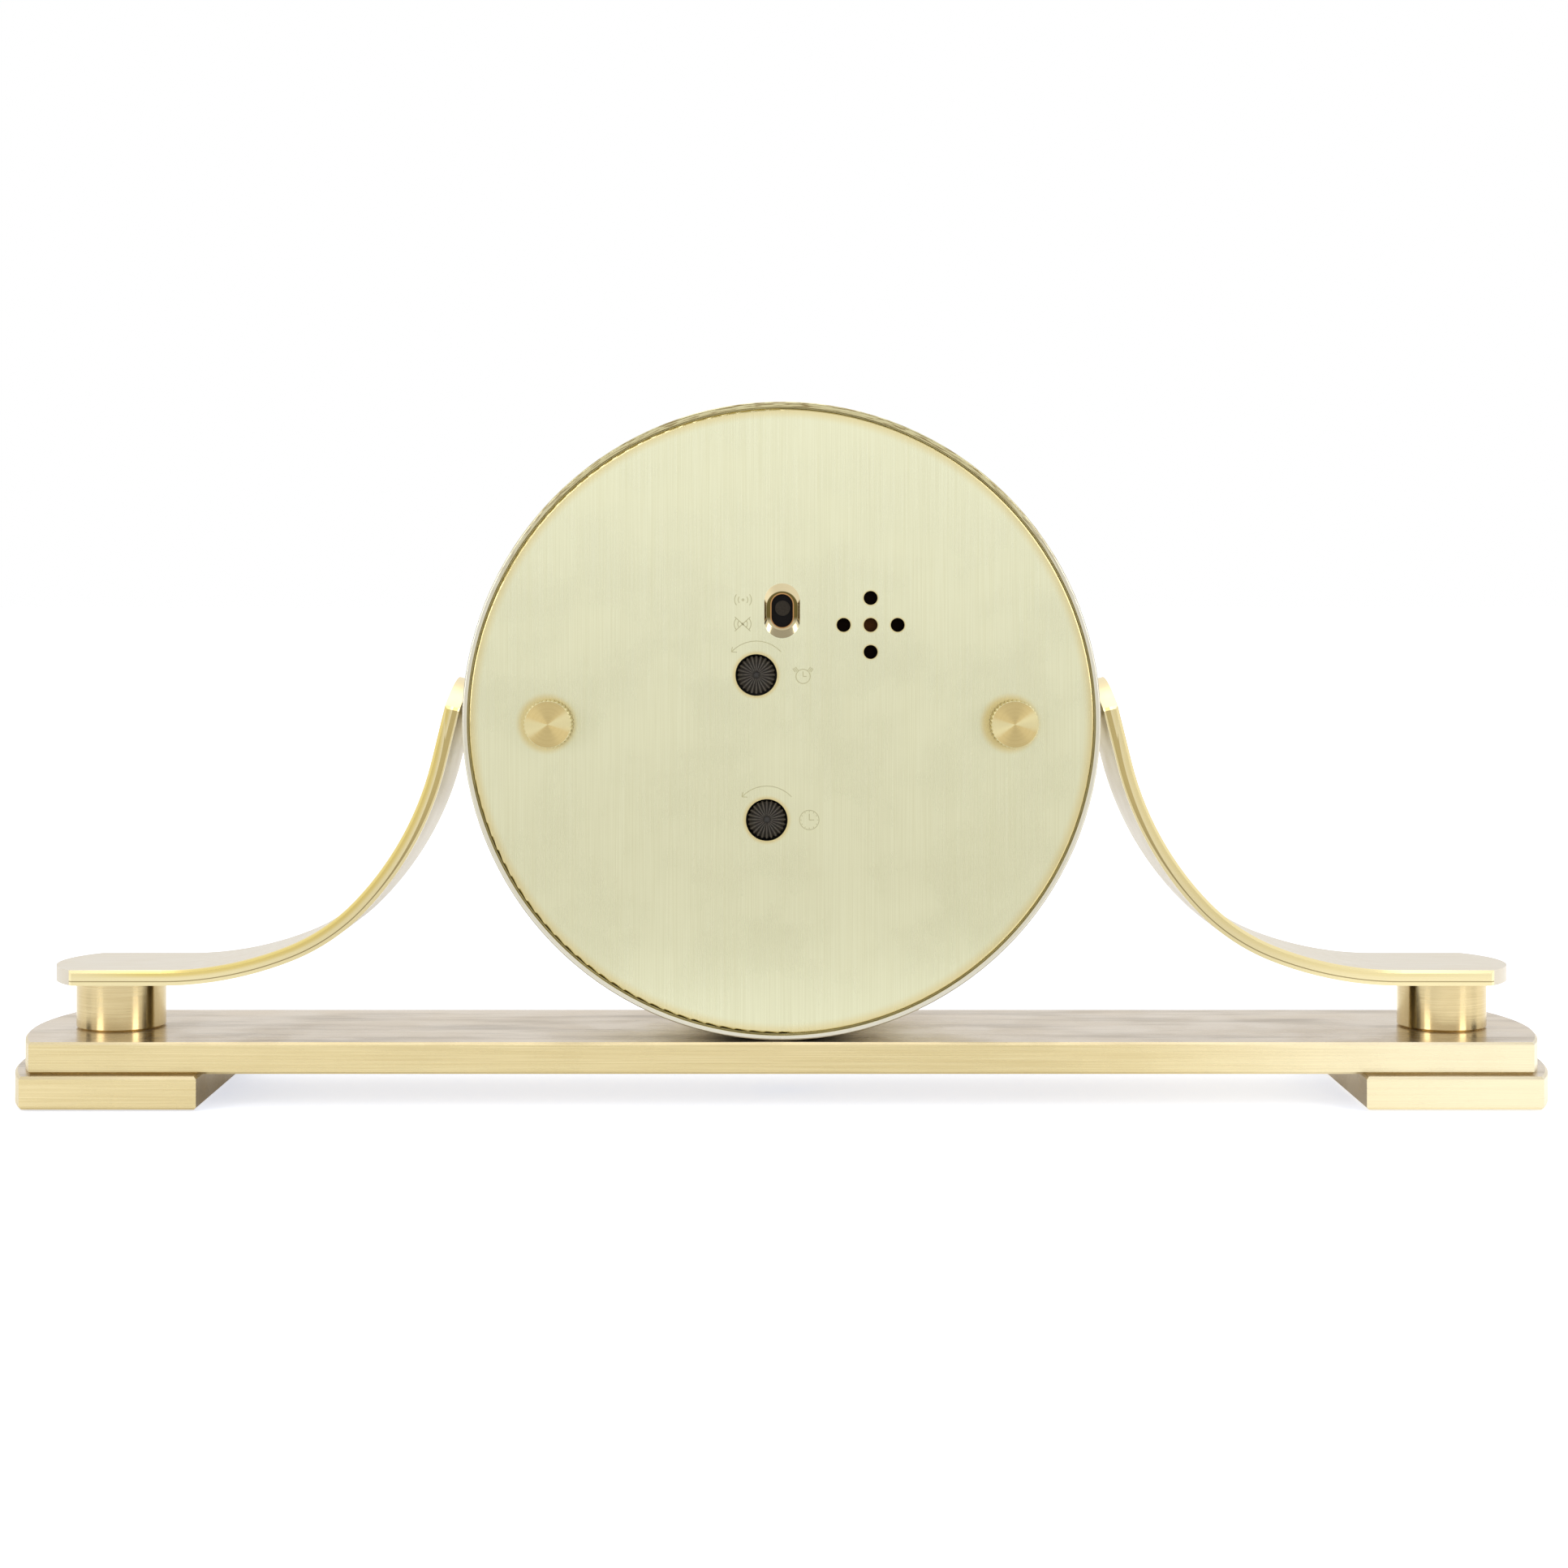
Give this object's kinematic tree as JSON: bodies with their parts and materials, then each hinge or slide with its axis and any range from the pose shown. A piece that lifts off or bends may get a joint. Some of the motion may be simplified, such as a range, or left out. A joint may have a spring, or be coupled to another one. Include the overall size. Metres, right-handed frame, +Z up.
{
  "type": "tambour mantel clock",
  "caption": "Brass tambour alarm clock: a round drum between two swept arms on a long plate with block feet, hands, setting knobs, alarm switch and a screwed back.",
  "frame": {"origin": "middle of the footprint, on the surface that the clock stands on", "axes": "+X to the right as seen from the dial side, +Y from the dial towards the back cover, +Z up"},
  "size_m": [0.2422, 0.037, 0.1091],
  "materials": {
    "polished_brass": "polished and lacquered",
    "satin_brass": "satin, with polished edges",
    "brushed_brass": "brushed along its length",
    "pale_brushed_brass": "pale lacquered brass, finely brushed upright",
    "turned_brass": "turned",
    "wheel_brass": "stamped",
    "screw_steel": "zinc plated",
    "sheet_steel": "plain sheet",
    "magnet": "dark sintered",
    "black_plastic": "moulded, fine grain",
    "sounder_bronze": "thin dull bronze sheet",
    "copper_wire": "enamelled copper",
    "green_laminate": "glass laminate",
    "cell_jacket": "plain printed jacket",
    "dial_enamel": "matt ivory",
    "dial_gold": "satin gilt",
    "hand_black": "satin black",
    "hand_gold": "gilt",
    "clear_glass": "clear, polished",
    "seal_rubber": "soft black",
    "felt": "dense green felt"
  },
  "bodies": {
    "case": {"arm_left": "satin_brass", "arm_right": "satin_brass", "arm_screws": "screw_steel", "arm_spacers": "satin_brass", "base_plate": "brushed_brass", "base_screws": "screw_steel", "battery": "cell_jacket", "battery_contacts": "sheet_steel", "buzzer_case": "black_plastic", "buzzer_disc": "sounder_bronze", "carrier_screws": "screw_steel", "circuit_board": "green_laminate", "coil_bobbin": "black_plastic", "coil_core": "sheet_steel", "coil_winding": "copper_wire", "cover_posts": "turned_brass", "dial_carrier": "sheet_steel", "dial_glass": "clear_glass", "dial_plate": "dial_enamel", "dial_ring": "dial_gold", "drum_case": "satin_brass", "drum_nut": "screw_steel", "foot_dowels": "screw_steel", "foot_left": "brushed_brass", "foot_pads": "felt", "foot_right": "brushed_brass", "front_bezel": "polished_brass", "glass_gasket": "seal_rubber", "hour_markers": "dial_gold", "housing_screws": "screw_steel", "movement_front": "black_plastic", "movement_nut": "turned_brass", "movement_rear": "black_plastic", "pillar_left": "polished_brass", "pillar_right": "polished_brass", "quartz_crystal": "sheet_steel", "stator": "sheet_steel"},
    "rear_cover": {"rear_cover": "pale_brushed_brass"},
    "thumb_screw_left": {"thumb_screw_left": "turned_brass"},
    "thumb_screw_right": {"thumb_screw_right": "turned_brass"},
    "screw_clip_left": {"screw_clip_left": "screw_steel"},
    "screw_clip_right": {"screw_clip_right": "screw_steel"},
    "second_hand": {"second_hand": "hand_gold", "second_wheel": "wheel_brass"},
    "intermediate_wheel": {"intermediate_wheel": "wheel_brass"},
    "rotor": {"rotor": "magnet"},
    "third_wheel": {"third_wheel": "wheel_brass"},
    "centre_wheel": {"centre_wheel": "wheel_brass"},
    "minute_hand": {"minute_hand": "hand_black", "cannon_pinion": "wheel_brass"},
    "minute_wheel": {"minute_wheel": "wheel_brass"},
    "hour_hand": {"hour_hand": "hand_black", "hour_wheel": "wheel_brass"},
    "time_knob": {"time_knob": "black_plastic", "time_stem": "black_plastic"},
    "alarm_hand": {"alarm_hand": "hand_gold", "alarm_wheel": "wheel_brass"},
    "alarm_knob": {"alarm_knob": "black_plastic", "alarm_stem": "black_plastic"},
    "alarm_switch": {"switch_slider": "black_plastic"}
  },
  "joints": [
    {"name": "cover_pull", "type": "slide", "parent": "case", "child": "rear_cover", "axis": [0, 1, 0], "range_m": [0, 0.03]},
    {"name": "alarm_switch_slide", "type": "slide", "parent": "case", "child": "alarm_switch", "axis": [0, 0, 1], "range_m": [-0.0017, 0]},
    {"name": "second_hand_turn", "type": "hinge", "parent": "case", "child": "second_hand", "pos_m": [0, 0, 0.05975], "axis": [0, 1, 0], "continuous": true},
    {"name": "intermediate_turn", "type": "hinge", "parent": "case", "child": "intermediate_wheel", "pos_m": [0.00717, 0, 0.05912], "axis": [0, 1, 0], "continuous": true},
    {"name": "rotor_turn", "type": "hinge", "parent": "case", "child": "rotor", "pos_m": [0.01375, 0, 0.06152], "axis": [0, 1, 0], "continuous": true},
    {"name": "third_turn", "type": "hinge", "parent": "case", "child": "third_wheel", "pos_m": [-0.00709, 0, 0.0585], "axis": [0, 1, 0], "continuous": true},
    {"name": "centre_turn", "type": "hinge", "parent": "case", "child": "centre_wheel", "pos_m": [0, 0, 0.05975], "axis": [0, 1, 0], "continuous": true},
    {"name": "minute_hand_turn", "type": "hinge", "parent": "case", "child": "minute_hand", "pos_m": [0, 0, 0.05975], "axis": [0, 1, 0], "continuous": true},
    {"name": "minute_wheel_turn", "type": "hinge", "parent": "case", "child": "minute_wheel", "pos_m": [-0.00137, 0, 0.05268], "axis": [0, 1, 0], "continuous": true},
    {"name": "hour_hand_turn", "type": "hinge", "parent": "case", "child": "hour_hand", "pos_m": [0, 0, 0.05975], "axis": [0, 1, 0], "continuous": true},
    {"name": "time_knob_turn", "type": "hinge", "parent": "case", "child": "time_knob", "pos_m": [0.00227, 0, 0.04445], "axis": [0, 1, 0], "continuous": true},
    {"name": "alarm_hand_turn", "type": "hinge", "parent": "case", "child": "alarm_hand", "pos_m": [0, 0, 0.05975], "axis": [0, 1, 0], "continuous": true},
    {"name": "alarm_knob_turn", "type": "hinge", "parent": "case", "child": "alarm_knob", "pos_m": [0.00389, 0, 0.06687], "axis": [0, 1, 0], "continuous": true},
    {"name": "left_screw_travel", "type": "slide", "parent": "rear_cover", "child": "screw_clip_left", "axis": [0, 1, 0], "range_m": [0, 0.00237]},
    {"name": "left_screw_turn", "type": "hinge", "parent": "screw_clip_left", "child": "thumb_screw_left", "pos_m": [-0.03585, 0, 0.05935], "axis": [0, 1, 0], "range_deg": [0, 1710]},
    {"name": "right_screw_travel", "type": "slide", "parent": "rear_cover", "child": "screw_clip_right", "axis": [0, 1, 0], "range_m": [0, 0.00237]},
    {"name": "right_screw_turn", "type": "hinge", "parent": "screw_clip_right", "child": "thumb_screw_right", "pos_m": [0.03585, 0, 0.05935], "axis": [0, 1, 0], "range_deg": [0, 1710]}
  ],
  "couplings": [
    {"joint": "intermediate_turn", "follows": "second_hand_turn", "ratio": -5},
    {"joint": "rotor_turn", "follows": "second_hand_turn", "ratio": 30},
    {"joint": "third_turn", "follows": "second_hand_turn", "ratio": -0.13333},
    {"joint": "centre_turn", "follows": "second_hand_turn", "ratio": 0.016667},
    {"joint": "minute_wheel_turn", "follows": "minute_hand_turn", "ratio": -0.33333},
    {"joint": "hour_hand_turn", "follows": "minute_hand_turn", "ratio": 0.083333},
    {"joint": "time_knob_turn", "follows": "minute_hand_turn", "ratio": 0.5},
    {"joint": "alarm_knob_turn", "follows": "alarm_hand_turn", "ratio": -3},
    {"joint": "left_screw_turn", "follows": "left_screw_travel", "rad_per_m": 12566},
    {"joint": "right_screw_turn", "follows": "right_screw_travel", "rad_per_m": 12566}
  ]
}
